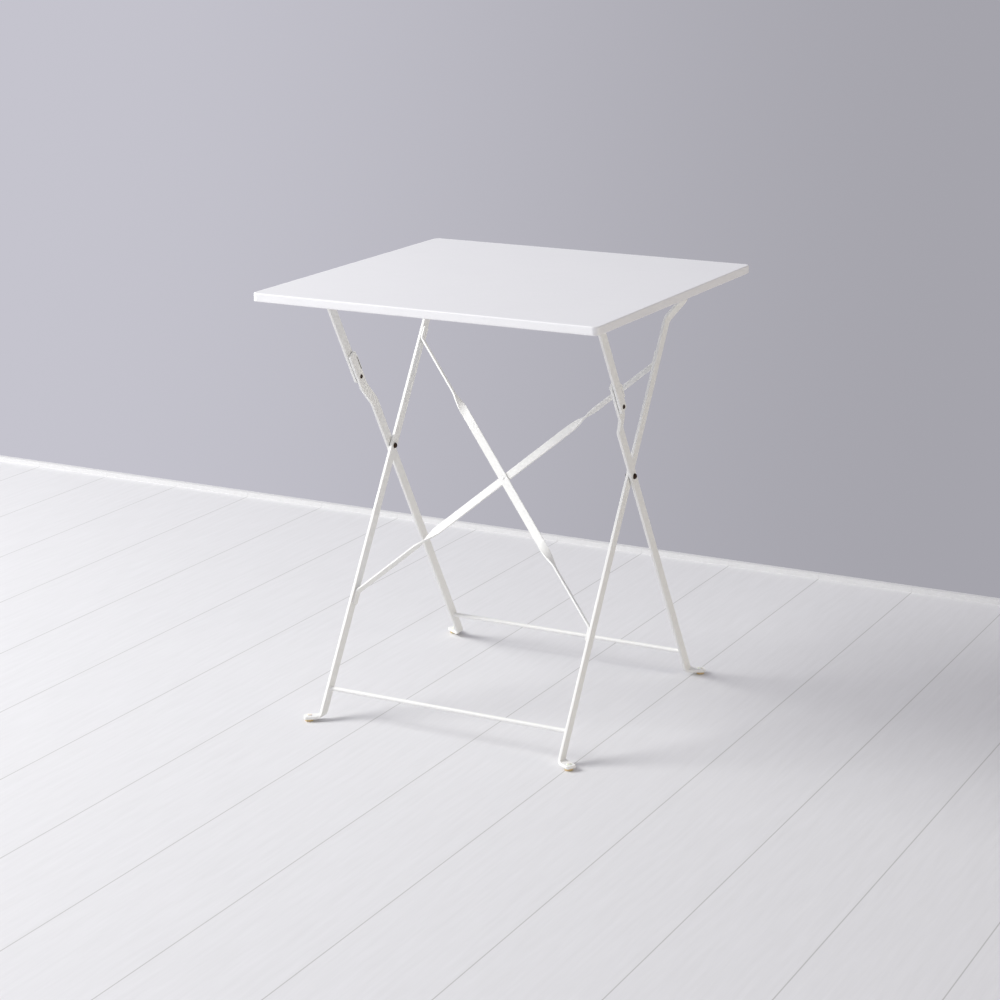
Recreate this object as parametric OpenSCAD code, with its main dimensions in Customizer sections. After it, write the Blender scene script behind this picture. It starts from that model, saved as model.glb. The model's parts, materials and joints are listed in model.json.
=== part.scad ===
// Folding bistro table: a sheet-steel top on two crossed frames of flat bar.
// It is drawn open, standing on its four glides, in millimetres.
// The origin is on the floor under the middle of the top, +X to the right along
// the front edge, +Y to the back, +Z up.
//
// The inner frame runs from the front feet to the back hinges of the top. The outer
// frame runs from the back feet up past the crossing to a knee, and a short link
// carries on from the knee to the front hinges. The legs cross on two rivets. With
// link length = half the hinge spacing, the four bars fold flat together.

/* [Top] */
// Width of the top, left to right
top_w = 600; // [480:10:800]
// Depth of the top, front to back
top_d = 600; // [480:10:760]
// Height of the top surface above the floor
table_h = 718; // [600:1:900]
// Thickness of the sheet steel
sheet_t = 1.2; // [0.8:0.1:2]
// Height of the folded edge
rim_h = 14; // [12:0.5:24]
// Width of the edge's return, folded in underneath
rim_return = 8; // [4:0.5:14]
// Radius of the top's corners, seen from above
corner_r = 10; // [4:0.5:30]

/* [Frame layout] */
// From the top's side edge in to the middle of the inner leg
frame_inset = 81; // [72:1:110]
// From the top's front or back edge to the hinge axis
hinge_inset = 134.4; // [110:0.2:150]
// From the top's front or back edge to where the leg's line meets the floor
foot_inset = 51; // [20:1:80]
// From the top surface down to the hinge axis
hinge_drop = 29; // [27:0.5:40]
// Height of the crossbars above the floor
crossbar_z = 48.6; // [35:0.2:90]

/* [Flat bar] */
// Width of the leg and link bar
bar_w = 18; // [14:0.5:21]
// Thickness of the leg and link bar
bar_t = 5; // [4:0.25:6]
// Gap between bars that lie side by side on a pivot
side_gap = 1.1; // [0.8:0.05:1.5]
// How far the outer leg steps outwards below the knee
joggle = 10; // [8:0.5:14]
// From the knee rivet down to the end of that step
joggle_below = 23.6; // [20:0.2:50]
// Length of that step along the leg
joggle_len = 30; // [24:1:40]
// Where the inner leg starts to splay outwards, below its hinge
splay_start = 50; // [46:1:120]
// Where the splay ends, below the hinge
splay_end = 12; // [12:0.5:20]

/* [Knee] */
// From the knee rivet down to the link's square end
link_end = 9; // [8:0.5:10]
// Radius of that end's corners
link_corner_r = 3; // [2:0.5:6]
// Length of the outer leg above the knee rivet
tail_len = 49; // [42:1:52]
// Start of the stop ear above the knee rivet
stop_start = 10; // [10:0.5:16]
// Length of the stop ear along the leg
stop_len = 28; // [12:0.5:30]
// Thickness of the stop ear
stop_t = 3.5; // [2:0.25:4]
// Gap between the stop ear and the straightened link
stop_gap = 0.35; // [0.3:0.05:0.5]

/* [Crossbars and braces] */
// Diameter of the crossbar rod
rod_d = 7; // [5:0.5:10]
// Width of the brace strip
brace_w = 14; // [10:0.5:16]
// Thickness of the brace strip
brace_t = 3; // [2:0.25:4]
// From the start of the inner leg's splay down to the braces' upper tabs
brace_top_gap = 57.2; // [4:0.2:60]
// From the crossbar up to the braces' lower tabs
brace_bottom_gap = 146.2; // [60:0.2:200]
// From the braces' crossing to the start of the twist
twist_start = 137; // [110:1:150]
// Length of the quarter twist
twist_len = 50; // [35:1:60]
// Length of the tab welded to the leg
tab_len = 22; // [14:1:30]

/* [Feet] */
// From the leg's middle out to the glide, along the foot
foot_reach = 22; // [16:0.5:30]
// Length of the foot beyond the glide's axis
foot_end = 9; // [8:0.5:14]
// Radius of the foot's corners
foot_corner_r = 5; // [2:0.5:7]
// Height of the glide under the foot
glide_h = 4.5; // [3:0.5:8]
// Diameter of the glide
glide_d = 15; // [11:0.5:17]
// Diameter of the glide's stem
stem_d = 6; // [4:0.5:7]
// Diameter of the button on the glide's stem, above the foot
button_d = 9; // [8:0.5:11]
// Height of that button
button_h = 2; // [1:0.25:3]

/* [Rivets] */
// Shank diameter of the two rivets where the legs cross
main_shank_d = 6.4; // [5:0.1:8]
// Head diameter of the two rivets where the legs cross
main_head_d = 9.5; // [8.5:0.1:12]
// Head height of the two rivets where the legs cross
main_head_h = 4.2; // [2:0.1:6]
// Shank diameter of the knee and hinge rivets
small_shank_d = 5; // [4:0.1:6]
// Head diameter of the knee and hinge rivets
small_head_d = 7.2; // [6.5:0.1:9]
// Head height of the knee and hinge rivets
small_head_h = 2.4; // [1.6:0.1:3]
// Radial clearance between a rivet and the bar that turns on it
run_gap = 0.05; // [0.02:0.01:0.1]
// Gap between faces that turn past each other
face_gap = 0.3; // [0.2:0.05:0.4]
// Width of a washer's ring
washer_ring = 3.6; // [2.5:0.1:4.5]

/* [Side rails] */
// Thickness of the angle rail under the top
rail_t = 3; // [2:0.25:4]
// Depth of the rail's web
rail_h = 12; // [8:0.5:14]
// Width of the rail's flange against the top
rail_flange = 16; // [10:0.5:20]
// Gap between the rail's ends and the edge of the top
rail_end_gap = 34; // [20:1:60]
// Radius of the lug round each hinge rivet
lug_r = 10; // [8:0.5:12]

/* [Hidden] */
$fn = 48;

white = "#f2f2f0";
rivet_brown = "#3b2a22";
glide_amber = "#c9a35a";

left = -1;
right = 1;

// The linkage, seen from the side
hinge_y = top_d / 2 - hinge_inset;
foot_y = top_d / 2 - foot_inset;
hinge_z = table_h - hinge_drop;
lean = atan((foot_y + hinge_y) / hinge_z);
pivot_z = hinge_z * foot_y / (foot_y + hinge_y);
// Distances along a leg, upwards from the main pivot
hinge_u = norm([hinge_y, hinge_z - pivot_z]);
link_len = hinge_y;
knee_u = hinge_u - link_len;
floor_u = -pivot_z / cos(lean);
crossbar_u = (crossbar_z - pivot_z) / cos(lean);
joggle_start = knee_u - joggle_below - joggle_len;

// The layers on each side, as distances from the middle plane to the bars' middles
inner_x = top_w / 2 - frame_inset;
layer = bar_t + side_gap;
outer_x = inner_x + layer;
knee_x = outer_x + joggle;
link_x = knee_x + layer;
rail_x = link_x + bar_t / 2 + side_gap;

main_shank_r = main_shank_d / 2;
small_shank_r = small_shank_d / 2;
washer_t = side_gap - face_gap;
button_gap = 0.1;
end_over = 20;
wide = 4 * bar_w;

// ---- helpers: the line of a bent strip, turned into its outline ----

function unit(v) = v / norm(v);
function left_of(v) = [-v[1], v[0]];
function run(path, i) = unit(path[i + 1] - path[i]);

// Offset at corner i that keeps the strip's thickness on both sides of the bend
function mitre(path, i) =
    let (last = len(path) - 1)
    let (before = run(path, max(i - 1, 0)))
    let (after = run(path, min(i, last - 1)))
    let (n = left_of(unit(before + after)))
    n / (n * left_of(after));

function strip_outline(path, t) = concat(
    [for (i = [0 : len(path) - 1]) path[i] + mitre(path, i) * t / 2],
    [for (i = [len(path) - 1 : -1 : 0]) path[i] - mitre(path, i) * t / 2]
);

// Local axes of a leg: X along it from the main pivot, Y outwards, Z across its width
module along_leg(tilt) {
    translate([0, 0, pivot_z])
        rotate([tilt, 0, 0])
            rotate(a = -120, v = [1, 1, 1])
                children();
}

module inner_side() {
    along_leg(-lean)
        children();
}

module outer_side() {
    along_leg(lean)
        children();
}

module on_side(side) {
    if (side == left)
        mirror([1, 0, 0])
            children();
    else
        children();
}

module bent_bar(path, w, t) {
    translate([0, 0, -w / 2])
        linear_extrude(height = w)
            polygon(strip_outline(path, t));
}

// A bore or shank across the bars' layers, at a distance u along the leg
module across(u, r, from, to) {
    translate([u, from, 0])
        rotate([-90, 0, 0])
            cylinder(r = r, h = to - from);
}

// Everything along the leg up to a round end of the bar's own width
module round_ended(from, to) {
    translate([from, -wide, -bar_w / 2])
        cube([to - from, inner_x + 2 * wide + joggle, bar_w]);
    across(to, bar_w / 2, -wide, inner_x + wide + joggle);
}

// ---- helpers: rivets ----

module dome(r, h) {
    ball = (r * r + h * h) / (2 * h);
    intersection() {
        translate([0, 0, h - ball])
            sphere(r = ball);
        cylinder(r = r, h = h);
    }
}

// A head that stands on the plane x = at, towards +X or -X
module rivet_head(u, at, dir, head_d, head_h) {
    translate([u, at, 0])
        rotate([dir > 0 ? -90 : 90, 0, 0])
            dome(head_d / 2, head_h);
}

module washer(u, shank_r, at, t) {
    difference() {
        across(u, shank_r + washer_ring, at, at + t);
        across(u, shank_r, at - 1, at + t + 1);
    }
}

// ---- helpers: feet ----

// Where the leg's middle line passes at the height of the foot
foot_line_y = (pivot_z - glide_h - bar_t / 2) * tan(lean);
// The foot is a little narrower than the leg, so that their edges don't coincide
foot_relief = 0.2;
foot_w = bar_w - 2 * foot_relief;

module foot_plate(x, way) {
    length = foot_reach + foot_end;
    r = foot_corner_r;
    intersection() {
        translate([x, way * foot_line_y, glide_h])
            rotate([0, 0, way * lean])
                difference() {
                    union() {
                        translate([-foot_w, -foot_w / 2, 0])
                            cube([foot_w + length - r, foot_w, bar_t]);
                        translate([0, r - foot_w / 2, 0])
                            cube([length, foot_w - 2 * r, bar_t]);
                        for (y = [r - foot_w / 2, foot_w / 2 - r])
                            translate([length - r, y, 0])
                                cylinder(r = r, h = bar_t);
                    }
                    translate([foot_reach, 0, -1])
                        cylinder(d = stem_d + 2 * button_gap, h = bar_t + 2);
                }
        translate([x, way * foot_line_y - wide, 0])
            cube([2 * wide, 2 * wide, wide]);
    }
}

module above_sole() {
    translate([0, -top_d, glide_h])
        cube([top_w, 2 * top_d, 2 * table_h]);
}

module glide(x, way) {
    translate([x, way * foot_line_y, 0])
        rotate([0, 0, way * lean])
            translate([foot_reach, 0, 0]) {
                cylinder(d = glide_d, h = glide_h);
                cylinder(d = stem_d, h = glide_h + bar_t);
                translate([0, 0, glide_h + bar_t])
                    dome(button_d / 2, button_h);
            }
}

// ---- inner frame ----

inner_path = [
    [floor_u - end_over, inner_x],
    [hinge_u - splay_start, inner_x],
    [hinge_u - splay_end, link_x],
    [hinge_u + end_over, link_x]
];

module inner_leg(side) {
    color(white)
        on_side(side) {
            difference() {
                intersection() {
                    inner_side()
                        intersection() {
                            bent_bar(inner_path, bar_w, bar_t);
                            round_ended(floor_u - end_over, hinge_u);
                        }
                    above_sole();
                }
                inner_side() {
                    across(0, main_shank_r, 0, inner_x + wide);
                    across(hinge_u, small_shank_r + run_gap, 0, inner_x + wide);
                }
            }
            foot_plate(inner_x, -1);
        }
}

module inner_leg_left() {
    inner_leg(left);
}

module inner_leg_right() {
    inner_leg(right);
}

module crossbar(x, way) {
    y = way * (pivot_z - crossbar_z) * tan(lean);
    reach = x - bar_t / 2;
    color(white)
        translate([-reach, y, crossbar_z])
            rotate([0, 90, 0])
                cylinder(d = rod_d, h = 2 * reach);
}

module inner_crossbar() {
    crossbar(inner_x, -1);
}

module inner_glide_left() {
    color(glide_amber)
        on_side(left)
            glide(inner_x, -1);
}

module inner_glide_right() {
    color(glide_amber)
        on_side(right)
            glide(inner_x, -1);
}

// ---- braces: strips that cross in the inner frame's plane ----
// Each lies flat in that plane at the middle, turns on edge near its ends, and bends
// against the legs' inner faces. Local X is up the leg, Y to the right.

// How far the straight stretches run over the twist, and how much slimmer the twist is,
// so that the three are one piece without coinciding corners
twist_bite = 0.4;
twist_slim = 0.2;
// Where the braces meet the legs, above and below the main pivot
brace_top = hinge_u - splay_start - brace_top_gap - tab_len;
brace_bottom = crossbar_u + brace_bottom_gap + tab_len;
brace_mid = (brace_top + brace_bottom) / 2;
brace_face = inner_x - bar_t / 2 - brace_t / 2;
brace_rise = (brace_top - brace_bottom) / 2;
brace_half = norm([brace_rise, brace_face]);
brace_angle = atan(brace_face / brace_rise);

module brace_arm(up) {
    // From the end of the twist to the tab, as a strip on edge
    along = [up * brace_rise, brace_face] / brace_half;
    corner = [brace_mid + up * brace_rise, brace_face];
    begin = [brace_mid, 0] + along * (twist_start + twist_len - twist_bite);
    bent_bar([begin, corner, corner + [up * tab_len, 0]], brace_w, brace_t);
    // The quarter twist, and half of the flat middle
    translate([brace_mid, 0, 0])
        rotate([0, 0, up > 0 ? brace_angle : 180 - brace_angle]) {
            translate([0, -brace_w / 2, -brace_t / 2])
                cube([twist_start + twist_bite, brace_w, brace_t]);
            translate([twist_start, 0, 0])
                rotate([0, 90, 0])
                    linear_extrude(height = twist_len, twist = up * 90, slices = 15, $fn = 4)
                        square([brace_t - twist_slim, brace_w - twist_slim], center = true);
        }
}

// depth: where the strip's middle lies across the frame's plane
module brace(flip, depth) {
    color(white)
        inner_side()
            translate([0, 0, depth])
                mirror([0, flip, 0]) {
                    brace_arm(1);
                    mirror([0, 1, 0])
                        brace_arm(-1);
                }
}

module brace_front() {
    brace(1, -brace_t / 2);
}

module brace_rear() {
    brace(0, brace_t / 2);
}

module brace_rivet() {
    color(white)
        inner_side()
            translate([brace_mid, 0, 0])
                for (turn = [0, 180])
                    rotate([turn, 0, 0])
                        translate([0, 0, brace_t])
                            dome(small_shank_d / 2, small_head_h / 2);
}

// ---- main pivot ----

// Riveted tight in the inner leg; the outer leg turns on the shank
module main_rivet(side) {
    inner_face = inner_x - bar_t / 2;
    outer_face = outer_x + bar_t / 2 + face_gap;
    color(rivet_brown)
        on_side(side)
            inner_side() {
                across(0, main_shank_r, inner_face, outer_face);
                rivet_head(0, inner_face, -1, main_head_d, main_head_h);
                rivet_head(0, outer_face, 1, main_head_d, main_head_h);
            }
}

module main_rivet_left() {
    main_rivet(left);
}

module main_rivet_right() {
    main_rivet(right);
}

module main_washers() {
    color(rivet_brown)
        for (side = [left, right])
            on_side(side)
                inner_side()
                    washer(0, main_shank_r, inner_x + bar_t / 2, washer_t);
}

// ---- outer frame ----

outer_path = [
    [floor_u - end_over, outer_x],
    [joggle_start, outer_x],
    [joggle_start + joggle_len, knee_x],
    [knee_u + tail_len, knee_x]
];

// An ear bent out of the leg's back edge, over the link's back edge
module stop_ear() {
    inner_face = knee_x - bar_t / 2;
    seat = bar_w / 2 + stop_gap;
    translate([knee_u + stop_start, inner_face, bar_w / 2 - 1])
        cube([stop_len, bar_t, 1 + stop_gap + stop_t]);
    translate([knee_u + stop_start, inner_face, seat])
        cube([stop_len, 2 * bar_t + side_gap, stop_t]);
}

module outer_leg(side) {
    color(white)
        on_side(side) {
            difference() {
                intersection() {
                    outer_side()
                        bent_bar(outer_path, bar_w, bar_t);
                    above_sole();
                }
                outer_side() {
                    across(0, main_shank_r + run_gap, 0, inner_x + wide);
                    across(knee_u, small_shank_r, 0, inner_x + wide);
                }
            }
            outer_side()
                stop_ear();
            foot_plate(outer_x, 1);
        }
}

module outer_leg_left() {
    outer_leg(left);
}

module outer_leg_right() {
    outer_leg(right);
}

module outer_crossbar() {
    crossbar(outer_x, 1);
}

module outer_glide_left() {
    color(glide_amber)
        on_side(left)
            glide(outer_x, 1);
}

module outer_glide_right() {
    color(glide_amber)
        on_side(right)
            glide(outer_x, 1);
}

// ---- knee: its rivet is split at the gap, so each half stays with its own bar ----

// The half in the outer leg: head, shank and the washer ring
module knee_rivet(side) {
    inner_face = knee_x - bar_t / 2;
    outer_face = knee_x + bar_t / 2;
    color(rivet_brown)
        on_side(side)
            outer_side() {
                rivet_head(knee_u, inner_face, -1, small_head_d, small_head_h);
                across(knee_u, small_shank_r, inner_face, outer_face);
                across(knee_u, small_shank_r + washer_ring, outer_face, outer_face + washer_t);
            }
}

module knee_rivet_left() {
    knee_rivet(left);
}

module knee_rivet_right() {
    knee_rivet(right);
}

// The half in the link: shank and head
module knee_tail(side) {
    inner_face = link_x - bar_t / 2;
    outer_face = link_x + bar_t / 2;
    color(rivet_brown)
        on_side(side)
            outer_side() {
                across(knee_u, small_shank_r, inner_face, outer_face);
                rivet_head(knee_u, outer_face, 1, small_head_d, small_head_h);
            }
}

module knee_tail_left() {
    knee_tail(left);
}

module knee_tail_right() {
    knee_tail(right);
}

// ---- links ----

// A flat bar, round at the hinge and square with soft corners at the knee
module link_bar() {
    inner_face = link_x - bar_t / 2;
    outer_face = link_x + bar_t / 2;
    lower_u = knee_u - link_end;
    corner_w = bar_w / 2 - link_corner_r;
    bent_bar([[lower_u + link_corner_r, link_x], [hinge_u, link_x]], bar_w, bar_t);
    across(hinge_u, bar_w / 2, inner_face, outer_face);
    for (way = [-1, 1])
        translate([0, 0, way * corner_w])
            across(lower_u + link_corner_r, link_corner_r, inner_face, outer_face);
    translate([lower_u, inner_face, -corner_w])
        cube([2 * link_corner_r, bar_t, 2 * corner_w]);
}

module link(side) {
    color(white)
        on_side(side)
            outer_side()
                difference() {
                    link_bar();
                    across(knee_u, small_shank_r, 0, link_x + wide);
                    across(hinge_u, small_shank_r + run_gap, 0, link_x + wide);
                }
}

module link_left() {
    link(left);
}

module link_right() {
    link(right);
}

// ---- top ----

module rounded_block(w, d, h, r) {
    translate([-w / 2, r - d / 2, 0])
        cube([w, d - 2 * r, h]);
    translate([r - w / 2, -d / 2, 0])
        cube([w - 2 * r, d, h]);
    for (x = [r - w / 2, w / 2 - r])
        for (y = [r - d / 2, d / 2 - r])
            translate([x, y, 0])
                cylinder(r = r, h = h);
}

module top_panel() {
    wall = sheet_t;
    inset = 2 * rim_return;
    color(white)
        translate([0, 0, table_h - rim_h])
            difference() {
                rounded_block(top_w, top_d, rim_h, corner_r);
                translate([0, 0, wall])
                    rounded_block(top_w - 2 * wall, top_d - 2 * wall, rim_h - 2 * wall, corner_r - wall);
                translate([0, 0, -1])
                    rounded_block(top_w - inset, top_d - inset, wall + 2, corner_r / 2);
            }
}

// ---- side rails: angles under the top, with a lug at each hinge ----

module side_rail(side) {
    under = table_h - sheet_t;
    length = top_d - 2 * rail_end_gap;
    color(white)
        on_side(side)
            difference() {
                union() {
                    translate([rail_x, -length / 2, under - rail_h])
                        cube([rail_t, length, rail_h]);
                    translate([rail_x, -length / 2, under - rail_t])
                        cube([rail_flange, length, rail_t]);
                    for (y = [-hinge_y, hinge_y]) {
                        translate([rail_x, y - lug_r, hinge_z])
                            cube([rail_t, 2 * lug_r, under - hinge_z - rail_t / 2]);
                        translate([rail_x, y, hinge_z])
                            rotate([0, 90, 0])
                                cylinder(r = lug_r, h = rail_t);
                    }
                }
                for (y = [-hinge_y, hinge_y])
                    translate([rail_x - 1, y, hinge_z])
                        rotate([0, 90, 0])
                            cylinder(r = small_shank_r, h = rail_t + 2);
            }
}

module side_rail_left() {
    side_rail(left);
}

module side_rail_right() {
    side_rail(right);
}

// Riveted tight in the lug; the leg or link turns on the shank
module hinge_rivet(side, way) {
    inner_face = link_x - bar_t / 2 - face_gap;
    outer_face = rail_x + rail_t;
    color(rivet_brown)
        on_side(side)
            translate([0, way * hinge_y, hinge_z])
                rotate(a = -120, v = [1, 1, 1]) {
                    across(0, small_shank_r, inner_face, outer_face);
                    rivet_head(0, inner_face, -1, small_head_d, small_head_h);
                    rivet_head(0, outer_face, 1, small_head_d, small_head_h);
                }
}

module hinge_rivet_front_left() {
    hinge_rivet(left, -1);
}

module hinge_rivet_front_right() {
    hinge_rivet(right, -1);
}

module hinge_rivet_back_left() {
    hinge_rivet(left, 1);
}

module hinge_rivet_back_right() {
    hinge_rivet(right, 1);
}

module hinge_washers() {
    color(rivet_brown)
        for (side = [left, right])
            for (way = [-1, 1])
                on_side(side)
                    translate([0, way * hinge_y, hinge_z])
                        rotate(a = -120, v = [1, 1, 1])
                            washer(0, small_shank_r, rail_x - washer_t, washer_t);
}

inner_leg_left();
inner_leg_right();
inner_crossbar();
brace_front();
brace_rear();
brace_rivet();
inner_glide_left();
inner_glide_right();
main_rivet_left();
main_rivet_right();
main_washers();
outer_leg_left();
outer_leg_right();
outer_crossbar();
outer_glide_left();
outer_glide_right();
knee_rivet_left();
knee_rivet_right();
link_left();
link_right();
knee_tail_left();
knee_tail_right();
top_panel();
side_rail_left();
side_rail_right();
hinge_rivet_front_left();
hinge_rivet_front_right();
hinge_rivet_back_left();
hinge_rivet_back_right();
hinge_washers();
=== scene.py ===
# %% [markdown]
# # A folding bistro table in painted steel
#
# The table is a square pan of sheet steel on two crossed frames of flat bar. The
# frames turn on two rivets where they cross. A short link on each side joins the
# outer frame to the front of the top, so top and frames fold flat together.
#
# Everything is in metres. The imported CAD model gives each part's place, and each
# part that shows is built again here with the bends and rounded edges that real
# flat bar and sheet have.

import json
import math

import bmesh
import bpy
import numpy as np
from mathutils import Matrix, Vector


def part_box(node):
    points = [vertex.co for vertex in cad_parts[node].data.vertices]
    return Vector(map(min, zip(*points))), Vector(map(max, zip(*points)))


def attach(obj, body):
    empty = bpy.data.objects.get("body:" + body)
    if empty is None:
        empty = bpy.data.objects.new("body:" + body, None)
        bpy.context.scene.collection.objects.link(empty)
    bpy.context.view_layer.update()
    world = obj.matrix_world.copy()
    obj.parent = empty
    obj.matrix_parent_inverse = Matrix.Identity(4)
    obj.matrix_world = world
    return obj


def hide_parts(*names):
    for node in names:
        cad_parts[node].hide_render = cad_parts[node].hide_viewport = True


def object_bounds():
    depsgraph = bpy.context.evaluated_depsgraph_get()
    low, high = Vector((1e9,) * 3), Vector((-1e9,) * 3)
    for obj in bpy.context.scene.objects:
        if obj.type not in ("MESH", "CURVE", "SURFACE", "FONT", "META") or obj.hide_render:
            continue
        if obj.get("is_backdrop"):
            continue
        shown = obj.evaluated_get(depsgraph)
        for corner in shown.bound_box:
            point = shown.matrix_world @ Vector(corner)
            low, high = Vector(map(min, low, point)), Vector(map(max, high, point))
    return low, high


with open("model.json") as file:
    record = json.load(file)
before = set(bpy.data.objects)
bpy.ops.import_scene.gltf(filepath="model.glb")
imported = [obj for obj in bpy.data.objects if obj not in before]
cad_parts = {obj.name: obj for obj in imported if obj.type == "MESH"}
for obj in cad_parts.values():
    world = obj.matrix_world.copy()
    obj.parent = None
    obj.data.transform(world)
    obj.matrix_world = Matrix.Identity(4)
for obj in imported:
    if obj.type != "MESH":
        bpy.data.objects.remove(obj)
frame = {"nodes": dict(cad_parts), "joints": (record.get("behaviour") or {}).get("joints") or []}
cad_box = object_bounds()

# %% [markdown]
# ## The table's own measurements
#
# The three hinge axes come from the joints, and the layers of bars on each side
# come from the boxes of the parts. The sizes of the stock are those that a steel
# merchant sells: 18 x 5 mm flat bar, 14 x 3 mm strip, 7 mm rod and 1.2 mm sheet.

# %% Hinge axes and layers
MM = 0.001
BAR_WIDTH = 18 * MM
BAR_THICK = 5 * MM
BAR_EDGE = 0.9 * MM
STRIP_WIDTH = 14 * MM
STRIP_THICK = 3 * MM
STRIP_EDGE = 0.6 * MM
SHEET = 1.2 * MM
LEFT, RIGHT = -1, 1
SIDES = (("left", LEFT), ("right", RIGHT))


def axis_of(joint_name):
    """The (y, z) of a hinge axis that runs along X."""
    joint = next(j for j in frame["joints"] if j["name"] == joint_name)
    return np.array(joint["pos_m"][1:3], float)


cross_axis = axis_of("leg_fold")
back_hinge = axis_of("top_fold")
front_hinge = axis_of("left_link_fold")
top_low, top_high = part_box("top_panel")

leg_reach = np.linalg.norm(back_hinge - cross_axis)
lean = math.atan2(back_hinge[0], back_hinge[1] - cross_axis[1])
link_length = abs(front_hinge[0])
knee_reach = leg_reach - link_length

inner_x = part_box("inner_crossbar")[1].x + BAR_THICK / 2
outer_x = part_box("outer_crossbar")[1].x + BAR_THICK / 2
link_x = sum(corner.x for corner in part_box("link_right")) / 2
knee_x = link_x - (outer_x - inner_x)
rail_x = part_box("side_rail_right")[0].x

print(f"lean {math.degrees(lean):.2f} deg, leg {leg_reach / MM:.1f} mm from cross to hinge")
print("layers", [round(x / MM, 1) for x in (inner_x, outer_x, knee_x, link_x, rail_x)])

# %% [markdown]
# ## Camera
#
# The camera stands well above the table top, to the right of the front, with a
# long lens, so the legs stay nearly parallel. A Track To constraint could aim it,
# but two angles say the same and show how far it is turned.

# %% Camera
CAMERA_PLACE = Vector((1.7829, -3.4715, 1.4200))
CAMERA_YAW = math.radians(27.394)
CAMERA_PITCH = math.radians(15.398)
LENS_MM = 87.78
SENSOR_MM = 36.0

camera_data = bpy.data.cameras.new("camera")
camera_data.lens = LENS_MM
camera_data.sensor_width = SENSOR_MM
camera = bpy.data.objects.new("camera", camera_data)
camera.location = CAMERA_PLACE
camera.rotation_euler = (math.pi / 2 - CAMERA_PITCH, 0.0, CAMERA_YAW)
bpy.context.scene.collection.objects.link(camera)
bpy.context.scene.camera = camera
print("camera at", [round(c, 3) for c in camera.location])

# %% [markdown]
# ## Colours and nodes
#
# Colours are written as the sRGB hex values that a paint chart gives. Blender
# works with linear light, so one function turns them into linear values. One
# more function adds a shader node with its settings, values and links, and every
# material below is made with it.


# %% Colour and node helpers
def linear(hex_colour):
    """An sRGB hex colour as linear RGBA."""
    channels = [int(hex_colour[i : i + 2], 16) / 255 for i in (1, 3, 5)]
    return [
        c / 12.92 if c <= 0.04045 else ((c + 0.055) / 1.055) ** 2.4 for c in channels
    ] + [1.0]


def add_node(tree, kind, values=None, links=None, **settings):
    """Adds a node: settings are its properties, values its sockets' constants, links its inputs."""
    made = tree.nodes.new(kind)
    for name, setting in settings.items():
        setattr(made, name, setting)
    for socket, value in (values or {}).items():
        made.inputs[socket].default_value = value
    for socket, source in (links or {}).items():
        tree.links.new(source, made.inputs[socket])
    return made


def empty_material(name):
    """A material with nothing in it yet, and its node tree."""
    material = bpy.data.materials.new(name)
    material.use_nodes = True
    material.node_tree.nodes.clear()
    return material, material.node_tree


FACTOR, COLOUR_A, COLOUR_B, MIXED = 0, 6, 7, 2
print("white paint in linear light:", [round(c, 3) for c in linear("#f4f4f2")])

# %% [markdown]
# ## White powder coat
#
# Garden furniture like this is powder coated: dry polyester powder is charged,
# blown onto the bare steel and baked until it flows. It gives a thick, even
# satin film with a faint orange peel, a little softer in the broad reflections
# than sprayed paint. Polyester has an IOR near 1.5, and a satin film a roughness
# near 0.4. Real orange peel is 1 to 3 mm across. Here it is drawn 5 mm across,
# so that it shows at the distance of the camera.
#
# An image of paint could be wrapped round each bar, but it would need seams. Noise
# in the object's own space has none, and its size is a plain length.

# %% Powder coat
PEEL_SIZE = 5 * MM
PEEL_DEPTH = 0.025 * MM
CLOUD_SIZE = 90 * MM
SHEET_WAVE = 160 * MM
SATIN_SPREAD = (-0.05, 0.06)
NOISE_MIDDLE = {"From Min": 0.3, "From Max": 0.7}  # most of a noise lies between these


def powder_coat(name, colour, shade, roughness, wave):
    """Baked polyester powder on steel. wave is how far the steel under it is out of flat."""
    material, tree = empty_material(name)
    place = add_node(tree, "ShaderNodeTexCoord").outputs["Object"]
    clouds = add_node(
        tree,
        "ShaderNodeTexNoise",
        {"Scale": 1 / CLOUD_SIZE, "Detail": 3.0, "Roughness": 0.55},
        {"Vector": place},
    )
    tint = add_node(
        tree,
        "ShaderNodeMix",
        {COLOUR_A: linear(colour), COLOUR_B: linear(shade)},
        {FACTOR: clouds.outputs["Fac"]},
        data_type="RGBA",
    )
    satin = add_node(
        tree,
        "ShaderNodeMapRange",
        {
            **NOISE_MIDDLE,
            "To Min": roughness + SATIN_SPREAD[0],
            "To Max": roughness + SATIN_SPREAD[1],
        },
        {"Value": clouds.outputs["Fac"]},
    )
    peel = add_node(
        tree,
        "ShaderNodeTexNoise",
        {"Scale": 1 / PEEL_SIZE, "Detail": 2.0, "Roughness": 0.4},
        {"Vector": place},
    )
    waves = add_node(
        tree,
        "ShaderNodeTexNoise",
        {"Scale": 1 / SHEET_WAVE, "Detail": 1.0},
        {"Vector": place},
    )
    flatness = add_node(
        tree,
        "ShaderNodeBump",
        {"Strength": 1.0, "Distance": wave},
        {"Height": waves.outputs["Fac"]},
    )
    skin = add_node(
        tree,
        "ShaderNodeBump",
        {"Strength": 0.2, "Distance": PEEL_DEPTH},
        {"Height": peel.outputs["Fac"], "Normal": flatness.outputs["Normal"]},
    )
    shader = add_node(
        tree,
        "ShaderNodeBsdfPrincipled",
        {"IOR": 1.5, "Metallic": 0.0},
        {
            "Base Color": tint.outputs[MIXED],
            "Roughness": satin.outputs["Result"],
            "Normal": skin.outputs["Normal"],
        },
    )
    add_node(tree, "ShaderNodeOutputMaterial", links={"Surface": shader.outputs["BSDF"]})
    return material


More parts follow.
